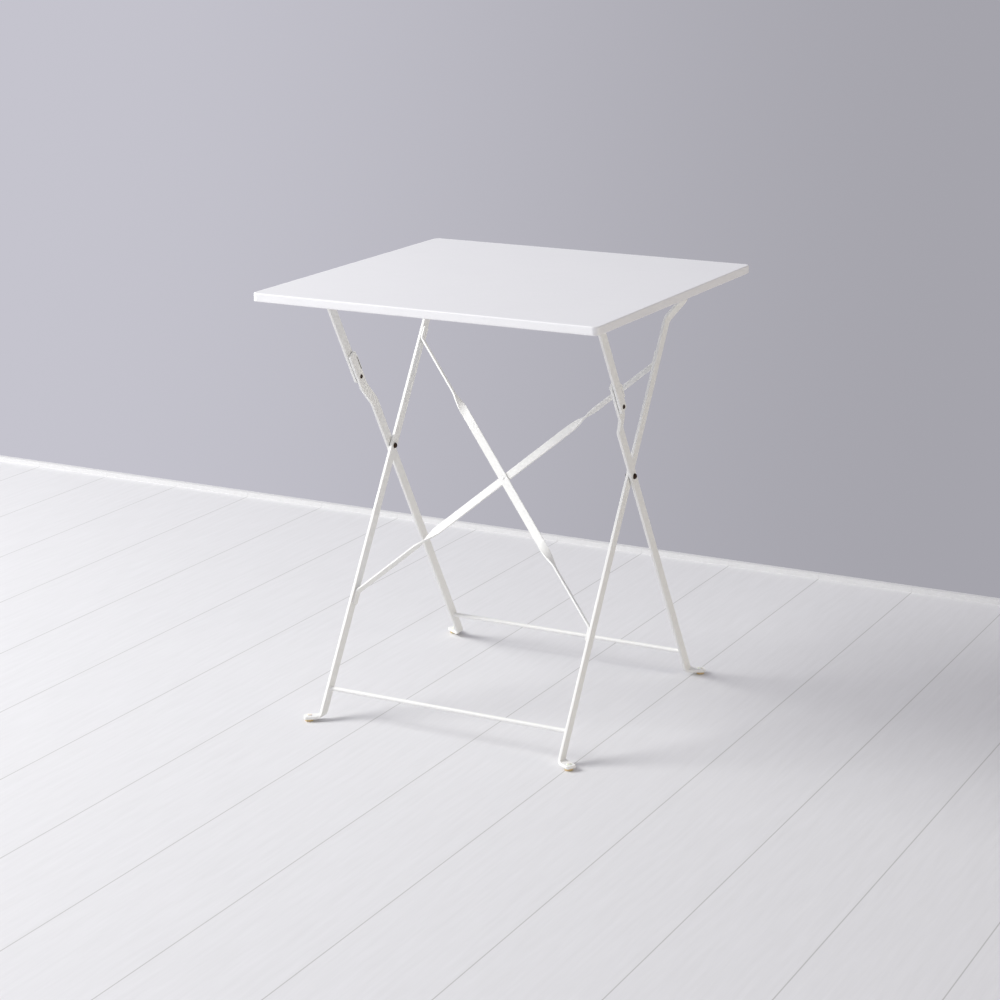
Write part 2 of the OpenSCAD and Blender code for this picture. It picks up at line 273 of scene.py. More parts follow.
top_paint = powder_coat(
    "satin white powder coat on sheet", "#f4f4f5", "#eeeeef", roughness=0.36, wave=0.6 * MM
)
frame_paint = powder_coat(
    "satin white powder coat on bar", "#f4f4f1", "#ededea", roughness=0.42, wave=0.1 * MM
)
print("powder coats:", top_paint.name, "/", frame_paint.name)

# %% [markdown]
# ## Browned steel rivets
#
# The rivets are set after painting, so they stay bare. They are mild steel,
# blackened with an oiled oxide that wears to a dark brown. It is a metal, so it
# keeps the default IOR. One fine noise makes the colour, the dullness and the
# pores, so that a dark spot is also a dull one, as it is on oxidised steel.

# %% Browned steel
OXIDE_GRAIN = 0.8 * MM
OXIDE_ROUGHNESS = (0.34, 0.58)
PORE_DEPTH = 0.05 * MM


def browned_steel(name):
    """Oiled oxide on mild steel."""
    material, tree = empty_material(name)
    place = add_node(tree, "ShaderNodeTexCoord").outputs["Object"]
    grain = add_node(
        tree,
        "ShaderNodeTexNoise",
        {"Scale": 1 / OXIDE_GRAIN, "Detail": 4.0, "Roughness": 0.6},
        {"Vector": place},
    )
    oxide = add_node(
        tree,
        "ShaderNodeMix",
        {COLOUR_A: linear("#4a382e"), COLOUR_B: linear("#20150f")},
        {FACTOR: grain.outputs["Fac"]},
        data_type="RGBA",
    )
    dullness = add_node(
        tree,
        "ShaderNodeMapRange",
        {**NOISE_MIDDLE, "To Min": OXIDE_ROUGHNESS[0], "To Max": OXIDE_ROUGHNESS[1]},
        {"Value": grain.outputs["Fac"]},
    )
    pores = add_node(
        tree,
        "ShaderNodeBump",
        {"Strength": 0.35, "Distance": PORE_DEPTH},
        {"Height": grain.outputs["Fac"]},
    )
    shader = add_node(
        tree,
        "ShaderNodeBsdfPrincipled",
        {"Metallic": 0.85},
        {
            "Base Color": oxide.outputs[MIXED],
            "Roughness": dullness.outputs["Result"],
            "Normal": pores.outputs["Normal"],
        },
    )
    add_node(tree, "ShaderNodeOutputMaterial", links={"Surface": shader.outputs["BSDF"]})
    return material


rivet_steel = browned_steel("browned steel")
print("rivets:", rivet_steel.name, "with grain of", OXIDE_GRAIN / MM, "mm")

# %% [markdown]
# ## Amber plastic glides
#
# Each foot stands on a moulded glide of clear amber PVC. Light enters it and
# comes out nearby, so it glows at its edges. PVC has an IOR of 1.54. Its surface
# is smooth from the mould and slightly scuffed from the floor. The button on top
# of the foot is thin, so the white paint under it shows through and it looks
# pale. A glass shader could show that, but it is slow and noisy on so small a
# part. Instead the tint fades over the thickness of the foot.

# %% Amber plastic
SCUFF_SIZE = 2 * MM
SCUFF_ROUGHNESS = (0.22, 0.42)
GLOW_DEPTH = 3 * MM
TINT_FADES = (6 * MM, 9 * MM)  # heights over the floor


def amber_plastic(name):
    """Clear tinted PVC, scuffed, that pales towards the button."""
    material, tree = empty_material(name)
    place = add_node(tree, "ShaderNodeTexCoord").outputs["Object"]
    scuffs = add_node(
        tree,
        "ShaderNodeTexNoise",
        {"Scale": 1 / SCUFF_SIZE, "Detail": 3.0},
        {"Vector": place},
    )
    resin = add_node(
        tree,
        "ShaderNodeMix",
        {COLOUR_A: linear("#dfcb9f"), COLOUR_B: linear("#cdb27c")},
        {FACTOR: scuffs.outputs["Fac"]},
        data_type="RGBA",
    )
    parts = add_node(tree, "ShaderNodeSeparateXYZ", links={"Vector": place})
    thinness = add_node(
        tree,
        "ShaderNodeMapRange",
        {"From Min": TINT_FADES[0], "From Max": TINT_FADES[1], "To Min": 0.0, "To Max": 1.0},
        {"Value": parts.outputs["Z"]},
    )
    tinted = add_node(
        tree,
        "ShaderNodeMix",
        {COLOUR_B: linear("#efebe2")},
        {FACTOR: thinness.outputs["Result"], COLOUR_A: resin.outputs[MIXED]},
        data_type="RGBA",
    )
    gloss = add_node(
        tree,
        "ShaderNodeMapRange",
        {**NOISE_MIDDLE, "To Min": SCUFF_ROUGHNESS[0], "To Max": SCUFF_ROUGHNESS[1]},
        {"Value": scuffs.outputs["Fac"]},
    )
    shader = add_node(
        tree,
        "ShaderNodeBsdfPrincipled",
        {"IOR": 1.54, "Subsurface Weight": 0.35, "Subsurface Scale": GLOW_DEPTH},
        {"Base Color": tinted.outputs[MIXED], "Roughness": gloss.outputs["Result"]},
    )
    add_node(tree, "ShaderNodeOutputMaterial", links={"Surface": shader.outputs["BSDF"]})
    return material


glide_plastic = amber_plastic("clear amber PVC")
print("materials:", [m.name for m in bpy.data.materials])

# %% [markdown]
# ## From points to a finished piece
#
# Each piece is a closed mesh made from points and faces. Its faces are turned to
# point outwards and shaded smooth. The rounded edges are in the points, because a
# Bevel modifier rounds every edge by one width, and bar ends need two. A
# weighted-normal modifier keeps the flat faces looking flat right up to the
# rounded edges, as they do on real bar. Then the piece is hung on the empty of
# the body it rides on, and the CAD parts it replaces are hidden.


# %% Make a piece
SAME_POINT = 1e-7
SMOOTH_UP_TO = math.radians(40)


def make_piece(name, points, faces, material, body, replaces=()):
    """A closed, smooth piece that rides on a body and stands for the CAD parts it replaces."""
    builder = bmesh.new()
    corners = [builder.verts.new(p) for p in points]
    for face in faces:
        builder.faces.new([corners[i] for i in face])
    bmesh.ops.remove_doubles(builder, verts=builder.verts, dist=SAME_POINT)
    bmesh.ops.recalc_face_normals(builder, faces=builder.faces)
    mesh = bpy.data.meshes.new(name)
    builder.to_mesh(mesh)
    builder.free()
    mesh.materials.append(material)
    mesh.shade_smooth()
    mesh.set_sharp_from_angle(angle=SMOOTH_UP_TO)
    piece = bpy.data.objects.new(name, mesh)
    bpy.context.scene.collection.objects.link(piece)
    flats = piece.modifiers.new("flat faces stay flat", "WEIGHTED_NORMAL")
    flats.keep_sharp = True
    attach(piece, body)
    if replaces:
        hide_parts(*replaces)
    return piece


print("edges stay sharp from", round(math.degrees(SMOOTH_UP_TO)), "degrees up")

# %% [markdown]
# ## The line of a bent bar
#
# A bent bar is drawn as the line of its middle: straight stretches joined by
# arcs, because steel bends round a radius and never at a point. A Blender curve
# could draw it, but its handles only come close to an arc. These functions are
# exact: they measure the distance along the line, and give the place there and
# the directions along it and across it.


# %% Bent line
FINE_STEP = math.radians(4)
COARSE_STEP = math.radians(8)


def unit(v):
    return v / np.linalg.norm(v)


def turned_by(v, angle):
    """A flat vector turned to the left by an angle."""
    c, s = math.cos(angle), math.sin(angle)
    return np.array([c * v[0] - s * v[1], s * v[0] + c * v[1]])


def bent_line(corners, radii):
    """Stretches of (start, direction, length, turn) through the corners, with an arc at each."""
    corners = [np.array(c, float) for c in corners]
    stretches, here = [], corners[0]
    for before, corner, after, radius in zip(corners, corners[1:], corners[2:], radii):
        coming, going = unit(corner - before), unit(after - corner)
        turn = math.asin(coming[0] * going[1] - coming[1] * going[0])
        cut = radius * math.tan(abs(turn) / 2)
        arc_start = corner - coming * cut
        stretches.append((here, coming, np.linalg.norm(arc_start - here), 0.0))
        stretches.append((arc_start, coming, radius * abs(turn), turn))
        here = corner + going * cut
    last = corners[-1] - here
    stretches.append((here, unit(last), np.linalg.norm(last), 0.0))
    return stretches


def line_length(line):
    return sum(length for _, _, length, _ in line)


def on_line(line, distance):
    """The point at a distance along the line, its direction, and the normal on its left."""
    left = distance
    for start, direction, length, turn in line:
        if left <= length or start is line[-1][0]:
            break
        left -= length
    if turn:
        part = turn * left / length
        radius = length / turn
        centre = start + radius * turned_by(direction, math.pi / 2)
        point = centre + turned_by(start - centre, part)
        direction = turned_by(direction, part)
    else:
        point = start + direction * left
    return point, direction, turned_by(direction, math.pi / 2)


def bend_stops(line, step=FINE_STEP):
    """Distances along the line at which a bar needs a cross-section."""
    stops, at = [], 0.0
    for _, _, length, turn in line:
        count = max(1, math.ceil(abs(turn) / step))
        stops += [at + length * i / count for i in range(count + 1)]
        at += length
    return stops


square_bend = bent_line([(0.0, 0.0), (1.0, 0.0), (1.0, 1.0)], (0.1,))
print("two 1 m sides with a 100 mm bend:", round(line_length(square_bend), 3), "m of bar")

# %% [markdown]
# ## Flat bar
#
# Rolled flat bar has small rounded edges, and its sawn ends have rounded
# corners, or a full half circle where it turns on a rivet. So each cross-section
# is a rounded rectangle, and near an end it narrows along the corner's circle.
# Sections at every stop along the bent line are joined into one skin, and each
# end is closed. A bevelled curve could sweep such a section, but it can't narrow
# it round the corners of the ends, or roll it askew as the feet need. The place
# function puts a point of the bar into the table: it gets the distance along,
# the distance across and the height over the middle.

# %% Flat bar
EDGE_STEPS = 4
CORNER_STEPS = 10
CLEAR_OF_CORNER = MM / 4
STOP_DIGITS = 7


def rings_joined(count, ring_size):
    """Faces between each ring of points and the next one."""
    faces = []
    for k in range(count - 1):
        for i in range(ring_size):
            j = (i + 1) % ring_size
            a, b = k * ring_size, (k + 1) * ring_size
            faces.append((a + i, a + j, b + j, b + i))
    return faces


def end_sections(length, width, radius):
    """(distance from the end, half width, outward normal along, across) round an end's corners."""
    turns = [i * math.pi / 2 / CORNER_STEPS for i in range(CORNER_STEPS + 1)]
    return [
        (
            radius * (1 - math.cos(a)),
            width / 2 - radius * (1 - math.sin(a)),
            math.cos(a),
            math.sin(a),
        )
        for a in turns
    ]


def edge_levels(thick, edge):
    """(inset from the outline, height over the middle) from the lower face to the upper face."""
    turns = [i * math.pi / 2 / EDGE_STEPS for i in range(EDGE_STEPS + 1)]
    lower = [(edge * (1 - math.sin(a)), -thick / 2 + edge * (1 - math.cos(a))) for a in turns]
    return lower + [(inset, -height) for inset, height in reversed(lower)]


def flat_bar(length, width, thick, edge, radii, place, stops=(), columns=1):
    """Points and faces of a bar. radii are the corner radii at its two ends."""
    start = end_sections(length, width, radii[0])
    end = end_sections(length, width, radii[1])
    sections = [(s, half, -along, across) for s, half, along, across in start]
    sections += [
        (s, width / 2, 0.0, 1.0)
        for s in sorted({round(s, STOP_DIGITS) for s in stops})
        if radii[0] + CLEAR_OF_CORNER < s < length - radii[1] - CLEAR_OF_CORNER
    ]
    sections += [
        (length - s, half, along, across) for s, half, along, across in reversed(end)
    ]
    levels = edge_levels(thick, edge)
    inner_columns = [(i + 1) / columns for i in range(columns - 1)]
    points, ring_size = [], 2 * len(levels) + 2 * len(inner_columns)
    for s, half, along, across in sections:
        one = [(s - inset * along, half - inset * across, h) for inset, h in levels]
        other = [(s - inset * along, inset * across - half, h) for inset, h in levels]
        upper = [
            [a + (b - a) * t for a, b in zip(one[-1], other[-1])] for t in inner_columns
        ]
        lower = [
            [a + (b - a) * t for a, b in zip(other[0], one[0])] for t in inner_columns
        ]
        points += [place(*p) for p in [*one, *upper, *reversed(other), *lower]]
    faces = rings_joined(len(sections), ring_size)
    faces += end_faces(len(sections), ring_size, len(levels), len(inner_columns))
    return points, faces


def end_faces(count, ring_size, level_count, column_count):
    """Closes both ends with one face per step of height."""
    faces = []
    for base in (0, (count - 1) * ring_size):
        far = level_count + column_count
        mate = [base + far + level_count - 1 - i for i in range(level_count)]
        near = [base + i for i in range(level_count)]
        upper = [base + level_count + i for i in range(column_count)]
        lower = [base + far + level_count + i for i in range(column_count)]
        for i in range(level_count - 1):
            face = [near[i], near[i + 1]]
            face += upper if i == level_count - 2 else []
            face += [mate[i + 1], mate[i]]
            face += lower if i == 0 else []
            faces.append(face)
    return faces


bar_levels = edge_levels(BAR_THICK, BAR_EDGE)
print("a bar's edge has", len(bar_levels), "levels, up to", bar_levels[-1][1] / MM, "mm")

# %% [markdown]
# ## Legs
#
# A leg is one length of flat bar. Its upper part steps or splays sideways, so
# that the bars lie side by side where they are riveted. At the floor the bar is
# bent outwards through a right angle, along a level line. The leg leans, so that
# bend is askew to the bar, and the foot points outwards and away. A Simple
# Deform modifier bends only square to an axis. So every point below the bend
# line is rolled round the bend's radius by a formula.

# %% Leg geometry
FOOT_BEND = 6 * MM
FOOT_LENGTH = 31 * MM
FOOT_CORNER = 5 * MM
FOLD_ZONE_MM = range(5, 80)  # from the lower end, with a cross-section at each
BAR_COLUMNS = 8
END_FLAT = 0.05 * MM
HINGE_END = BAR_WIDTH / 2 - END_FLAT

foot_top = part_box("inner_glide_right")[1].z
button_height = 2 * MM
foot_middle = foot_top - button_height - BAR_THICK / 2
fold_z = foot_middle + FOOT_BEND
fold_stops = [i * MM for i in FOLD_ZONE_MM]


def into_table(lean_sign, side):
    """A function that puts a point up a leg, sideways and to the back into the table's X, Y, Z."""

    def put(u, x, w):
        y = cross_axis[0] + lean_sign * u * math.sin(lean) + w * math.cos(lean)
        z = cross_axis[1] + u * math.cos(lean) - lean_sign * w * math.sin(lean)
        return Vector((side * x, y, z))

    return put


def folded_foot(point, side, layer_x):
    """Rolls a point below the fold line outwards round the foot's bend."""
    below = fold_z - point.z
    if below <= 0:
        return point
    turn = min(below / (2 * FOOT_BEND), 1.0) * math.pi / 2
    beyond = max(below - 2 * FOOT_BEND, 0.0)
    height = side * point.x - layer_x
    x = layer_x + FOOT_BEND * (1 - math.cos(turn)) + beyond + height * math.cos(turn)
    z = fold_z - FOOT_BEND * math.sin(turn) + height * math.sin(turn)
    return Vector((side * x, point.y, z))


def leg(name, lean_sign, side, corners, radii, top_corner, layer_x, body):
    """One leg of flat bar. corners are (distance up the leg, distance sideways)."""
    line = bent_line(corners, radii)
    put = into_table(lean_sign, side)

    def place(s, w, height):
        (u, x), _, (nu, nx) = on_line(line, s)
        return folded_foot(put(u + nu * height, x + nx * height, w), side, layer_x)

    points, faces = flat_bar(
        line_length(line), BAR_WIDTH, BAR_THICK, BAR_EDGE, (FOOT_CORNER, top_corner), place,
        bend_stops(line) + fold_stops, columns=BAR_COLUMNS,
    )
    return make_piece(f"{name}_bar", points, faces, frame_paint, body, (name,))


print("foot", round(foot_middle / MM, 1), "mm up, bend from", round(fold_z / MM, 1), "mm down")

# %% [markdown]
# The inner leg runs straight up from the foot and splays outwards just under the
# top, to reach the lug outside the link. Its top end is round.

# %% Inner legs
SPLAY_START = 50 * MM
SPLAY_END = 12 * MM
SPLAY_BEND = 22 * MM
foot_u = (foot_middle - cross_axis[1]) / math.cos(lean) - FOOT_LENGTH

inner_corners = [
    (foot_u, inner_x),
    (leg_reach - SPLAY_START, inner_x),
    (leg_reach - SPLAY_END, link_x),
    (leg_reach + BAR_WIDTH / 2, link_x),
]
for side_name, side in SIDES:
    made = leg(
        f"inner_leg_{side_name}", 1, side, inner_corners, (SPLAY_BEND,) * 2,
        HINGE_END, inner_x, "inner_frame",
    )
    print(made.name, len(made.data.polygons), "faces")

# %% [markdown]
# The outer leg steps outwards below the knee, so that it clears the inner leg
# and still lies inside the link. It ends square, a little above the knee rivet.

# %% Outer legs
STEP_BELOW_KNEE = 23.6 * MM
STEP_LENGTH = 30 * MM
STEP_BEND = 24 * MM
TAIL_LENGTH = 49 * MM
TAIL_CORNER = 2.5 * MM

outer_corners = [
    (foot_u, outer_x),
    (knee_reach - STEP_BELOW_KNEE - STEP_LENGTH, outer_x),
    (knee_reach - STEP_BELOW_KNEE, knee_x),
    (knee_reach + TAIL_LENGTH, knee_x),
]
for side_name, side in SIDES:
    made = leg(
        f"outer_leg_{side_name}", -1, side, outer_corners, (STEP_BEND,) * 2,
        TAIL_CORNER, outer_x, "outer_frame",
    )
    print(made.name, len(made.data.polygons), "faces")

# %% [markdown]
# ## Stop ears
#
# When the table is open, the link and the outer leg are in line, and an ear on
# the leg's back edge stops the link there. It is a short piece of strip, bent
# over the link's edge and welded to the leg. It could be part of the leg's mesh,
# but it is a piece of its own on the real table, so it is one here.

# %% Stop ears
EAR_START = 10 * MM
EAR_LENGTH = 28 * MM
EAR_THICK = 3.5 * MM
EAR_EDGE = 0.7 * MM
EAR_BEND = 3 * MM
EAR_GAP = 0.35 * MM
EAR_ROOT = 3 * MM
EAR_CORNERS = (1 * MM, 2 * MM)

ear_seat = BAR_WIDTH / 2 + EAR_GAP + EAR_THICK / 2
ear_wall = knee_x - BAR_THICK / 2 + EAR_THICK / 2
ear_tip = link_x + BAR_THICK / 2
ear_line = bent_line(
    [(BAR_WIDTH / 2 - EAR_ROOT, ear_wall), (ear_seat, ear_wall), (ear_seat, ear_tip)],
    (EAR_BEND,),
)


def stop_ear(side_name, side):
    """The bent strip beside one knee."""
    put = into_table(-1, side)

    def place(s, along, height):
        (w, x), _, (nw, nx) = on_line(ear_line, s)
        u = knee_reach + EAR_START + EAR_LENGTH / 2 + along
        return put(u, x + nx * height, w + nw * height)

    points, faces = flat_bar(
        line_length(ear_line), EAR_LENGTH, EAR_THICK, EAR_EDGE, EAR_CORNERS, place,
        bend_stops(ear_line, COARSE_STEP),
    )
    return make_piece(
        f"stop_ear_{side_name}", points, faces, frame_paint, "outer_frame"
    )


for side_name, side in SIDES:
    print(stop_ear(side_name, side).name, "bent over", round(EAR_LENGTH / MM), "mm of the link")

# %% [markdown]
# ## Links
#
# A link is a short straight bar. Its lower end is cut square, just below the knee
# rivet, and its upper end is round on the top's front hinge. The same function as
# for the legs makes it, so all bars have the same edges.

# %% Links
LINK_END = 9 * MM
LINK_CORNER = 3 * MM


def link(side_name, side):
    """The bar from one knee to the top's front hinge."""
    put = into_table(-1, side)

    def place(s, w, height):
        return put(knee_reach - LINK_END + s, link_x + height, w)

    points, faces = flat_bar(
        LINK_END + link_length + BAR_WIDTH / 2, BAR_WIDTH, BAR_THICK, BAR_EDGE,
        (LINK_CORNER, HINGE_END), place,
    )
    name = f"link_{side_name}"
    return make_piece(
        f"{name}_bar", points, faces, frame_paint, f"{side_name}_link", (name,)
    )


for side_name, side in SIDES:
    print(link(side_name, side).name, round(link_length / MM, 1), "mm between rivets")

# %% [markdown]
# ## Twisted braces
#
# Two strips cross between the inner legs and keep the frame square. In the
# middle each lies flat, so that the two can be riveted face to face. Near each
# end it is twisted a quarter turn in the vice, because its tab has to lie
# against the leg's inner face, and there it is welded. A Simple Deform twist would
# start and stop abruptly. Here it is eased in and out, as cold steel does it.

# %% Braces
TWIST_START = 137 * MM
TWIST_LENGTH = 50 * MM
TAB_LENGTH = 22 * MM
TAB_BEND = 5 * MM
TWIST_STEPS = 24
STRIP_CORNER = 2 * MM
STRIP_COLUMNS = 4
UPPER_TAB_BELOW_SPLAY = 57.2 * MM
LOWER_TAB_ABOVE_ROD = 146.2 * MM

rod_low, rod_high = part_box("inner_crossbar")
rod_radius = (rod_high.z - rod_low.z) / 2
rod_z = (rod_high.z + rod_low.z) / 2
rod_u = (rod_z - cross_axis[1]) / math.cos(lean)
tab_high = leg_reach - SPLAY_START - UPPER_TAB_BELOW_SPLAY - TAB_LENGTH
tab_low = rod_u + LOWER_TAB_ABOVE_ROD + TAB_LENGTH
face_x = inner_x - BAR_THICK / 2 - STRIP_THICK / 2
brace_line = bent_line(
    [
        (tab_low - TAB_LENGTH, -face_x),
        (tab_low, -face_x),
        (tab_high, face_x),
        (tab_high + TAB_LENGTH, face_x),
    ],
    (TAB_BEND,) * 2,
)
brace_length = line_length(brace_line)


def twist_at(s):
    """The strip's turn about its own line: 0 where it lies flat, a quarter turn at the ends."""
    share = (abs(s - brace_length / 2) - TWIST_START) / TWIST_LENGTH
    share = min(max(share, 0.0), 1.0)
    eased = share * share * (3 - 2 * share)
    return math.pi / 2 * (share + (eased - share) / 2)


def brace(name, side, depth):
    """A strip that rises towards side, its middle lying at a depth behind the legs' middle."""
    put = into_table(1, side)

    def place(s, across, height):
        (u, x), _, (nu, nx) = on_line(brace_line, s)
        c, t = math.cos(twist_at(s)), math.sin(twist_at(s))
        in_plane = across * c + height * t
        through = height * c - across * t
        return put(u + nu * in_plane, x + nx * in_plane, depth + through)

    middle = brace_length / 2
    twist_stops = [
        middle + way * (TWIST_START + TWIST_LENGTH * i / TWIST_STEPS)
        for way in (-1, 1)
        for i in range(TWIST_STEPS + 1)
    ]
    points, faces = flat_bar(
        brace_length, STRIP_WIDTH, STRIP_THICK, STRIP_EDGE, (STRIP_CORNER,) * 2, place,
        bend_stops(brace_line) + twist_stops, columns=STRIP_COLUMNS,
    )
    return make_piece(
        f"{name}_strip", points, faces, frame_paint, "inner_frame", (name,)
    )


brace("brace_front", LEFT, -STRIP_THICK / 2)
brace("brace_rear", RIGHT, STRIP_THICK / 2)
print("brace strip", round(brace_length / MM), "mm long")

# %% [markdown]
# ## Turned parts
#
# Rods, rivets and glides are round, so each is a profile turned about an axis.
# The profile is a list of radii and heights from one end to the other. A Screw
# modifier could turn it, but then the ends would need closing by hand.

# %% Turn a profile
TURN_STEPS = 48
DOME_STEPS = 10
CROWN_FLAT = 0.06  # radians short of the crown's middle


def ring_caps(count, ring_size):
    """One face inside the first ring and one inside the last."""
    last = (count - 1) * ring_size
    return [tuple(range(ring_size)), tuple(range(last, last + ring_size))]


def turned(profile, place):
    """Points and faces of a closed turned shape. place gets two cross distances and a height."""
    points = []
    for radius, height in profile:
        for i in range(TURN_STEPS):
            a = 2 * math.pi * i / TURN_STEPS
            points.append(place(radius * math.cos(a), radius * math.sin(a), height))
    return points, rings_joined(len(profile), TURN_STEPS) + ring_caps(len(profile), TURN_STEPS)


def dome(radius, height):
    """A domed head's profile from its rim to a small flat at its crown."""
    turns = [i * (math.pi / 2 - CROWN_FLAT) / DOME_STEPS for i in range(DOME_STEPS + 1)]
    return [(radius * math.cos(a), height * math.sin(a)) for a in turns]


print("round parts have", TURN_STEPS, "sides")

# %% [markdown]
# The two crossbars are 7 mm rod, welded between the legs. The fillet weld flares
# each end where it meets the leg.

# %% Crossbars
WELD_REACH = 2.4 * MM
WELD_HEIGHT = 1.5 * MM
WELD_STEPS = 6


def crossbar(name, body):
    """A rod between two legs, with its welds."""
    low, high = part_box(name)
    y, z = (low.y + high.y) / 2, (low.z + high.z) / 2
    steps = [i / WELD_STEPS for i in range(WELD_STEPS + 1)]
    flare = [
        (rod_radius + WELD_HEIGHT * (1 - t) ** 2, low.x + WELD_REACH * t) for t in steps
    ]
    profile = flare + [(r, -x) for r, x in reversed(flare)]
    points, faces = turned(profile, lambda a, b, h: Vector((h, y + a, z + b)))
    return make_piece(f"{name}_rod", points, faces, frame_paint, body, (name,))


crossbar("inner_crossbar", "inner_frame")
crossbar("outer_crossbar", "outer_frame")
print("rods of", round(2 * rod_radius / MM, 1), "mm")

# %% [markdown]
# ## Rivets
#
# A rivet is a shank with a head at each end, domed by the riveting hammer. The
# main rivets go through both legs. The table's joints form a loop on each side,
# and the model can only hold a tree of joints. So each knee rivet is drawn in two
# halves, one with the leg and one with the link, which meet at the gap between
# the bars and part on the way to the folded pose.

# %% Rivets
MAIN_HEAD = (4.75 * MM, 4.2 * MM)
MAIN_SHANK = 3.2 * MM
SMALL_HEAD = (3.6 * MM, 2.4 * MM)
SMALL_SHANK = 2.5 * MM
WASHER_RADIUS = 6.1 * MM
bar_half = BAR_THICK / 2
knee = into_table(-1, RIGHT)(knee_reach, 0.0, 0.0)


def head(size, at, way):
    """A head's profile from its crown to its rim, standing on the plane at, facing way."""
    return [(r, at + way * h) for r, h in reversed(dome(*size))]


def two_headed(low, high, head_size, shank):
    """A rivet's profile from the crown at low to the crown at high."""
    near, far = low + head_size[1], high - head_size[1]
    profile = head(head_size, near, -1) + [(shank, near), (shank, far)]
    return profile + head(head_size, far, 1)[::-1]


def rivet(name, side, axis_y, axis_z, profile, body):
    """A rivet along X through the axis, made from its profile on the right side."""
    points, faces = turned(
        profile, lambda a, b, h: Vector((side * h, axis_y + a, axis_z + b))
    )
    return make_piece(f"{name}_steel", points, faces, rivet_steel, body, (name,))


def reach_of(name):
    """How near to the middle plane and how far from it a part reaches."""
    return sorted(abs(corner.x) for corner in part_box(name))


for side_name, side in SIDES:
    name = f"main_rivet_{side_name}"
    profile = two_headed(*reach_of(name), MAIN_HEAD, MAIN_SHANK)
    rivet(name, side, *cross_axis, profile, "inner_frame")

    name = f"knee_rivet_{side_name}"
    near, far = knee_x - bar_half, knee_x + bar_half
    washer_face = reach_of(name)[1]
    profile = head(SMALL_HEAD, near, -1) + [(SMALL_SHANK, near), (SMALL_SHANK, far)]
    profile += [(WASHER_RADIUS, far), (WASHER_RADIUS, washer_face), (SMALL_SHANK, washer_face)]
    rivet(name, side, knee.y, knee.z, profile, "outer_frame")

    near, far = link_x - bar_half, link_x + bar_half
    profile = [(SMALL_SHANK, near), (SMALL_SHANK, far)] + head(SMALL_HEAD, far, 1)[::-1]
    rivet(f"knee_tail_{side_name}", side, knee.y, knee.z, profile, f"{side_name}_link")

    for row, hinge in (("front", front_hinge), ("back", back_hinge)):
        name = f"hinge_rivet_{row}_{side_name}"
        profile = two_headed(*reach_of(name), SMALL_HEAD, SMALL_SHANK)
        rivet(name, side, *hinge, profile, "tabletop")
print("rivet heads", [2 * r / MM for r, _ in (MAIN_HEAD, SMALL_HEAD)], "mm across")

# %% [markdown]
# ## Glides
#
# A glide is a disc under the foot and a button on top of it, joined by a stem
# through the foot. Its edges are rounded by the mould, and the disc is a little
# wider at the foot than at the floor. All of it is round, so it is turned too.

# %% Glides
GLIDE_RADIUS = 7.5 * MM
FLOOR_RADIUS = GLIDE_RADIUS - 0.7 * MM
FLOOR_EDGE = 1.0 * MM
UPPER_EDGE = 0.6 * MM
STEM_RADIUS = 3 * MM
BUTTON = (4.5 * MM, button_height)
MOULDED_STEPS = 5
sole_z = foot_middle - BAR_THICK / 2
foot_face = foot_middle + BAR_THICK / 2


def glide(name, body):
    """The moulding through one foot."""
    low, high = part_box(name)
    x, y = (low.x + high.x) / 2, (low.y + high.y) / 2
    turns = [i * math.pi / 2 / MOULDED_STEPS for i in range(MOULDED_STEPS + 1)]
    profile = [
        (FLOOR_RADIUS - FLOOR_EDGE * (1 - math.sin(a)), FLOOR_EDGE * (1 - math.cos(a)))
        for a in turns
    ]
    profile += [
        (GLIDE_RADIUS - UPPER_EDGE * (1 - math.cos(a)), sole_z - UPPER_EDGE * (1 - math.sin(a)))
        for a in turns
    ]
    profile += [(STEM_RADIUS, sole_z), (STEM_RADIUS, foot_face)]
    profile += [(r, foot_face + h) for r, h in dome(*BUTTON)]
    points, faces = turned(profile, lambda a, b, h: Vector((x + a, y + b, h)))
    return make_piece(f"{name}_moulding", points, faces, glide_plastic, body, (name,))


for side_name, _ in SIDES:
    glide(f"inner_glide_{side_name}", "inner_frame")
    glide(f"outer_glide_{side_name}", "outer_frame")
print("glides", round(2 * GLIDE_RADIUS / MM), "mm across")

# %% [markdown]
# ## The top
#
# The top is a pan, folded from one sheet. Its edge goes down, then a short return
# goes inwards underneath, so no raw edge meets the hand. A bevelled box would
# look the same from above, but not from below, where the pan is hollow. So the
# pan is drawn by following one profile, out of the top face, round the fold, down
# the edge, round the return and back up inside, right round the square.

# %% Folded pan
FOLD_RADIUS = 2.2 * MM
RETURN_RADIUS = 1.7 * MM
RETURN_WIDTH = 8 * MM
CORNER_RADIUS = 10 * MM
CORNER_POINTS = 12
FOLD_POINTS = 6

pan_half_x = (top_high.x - top_low.x) / 2
pan_half_y = (top_high.y - top_low.y) / 2


def quarter(centre, radius, start):
    """Points of a quarter circle, turning left from the start angle in degrees."""
    turns = [math.radians(start + 90 * i / FOLD_POINTS) for i in range(FOLD_POINTS + 1)]
    return [(centre[0] + radius * math.cos(a), centre[1] + radius * math.sin(a)) for a in turns]


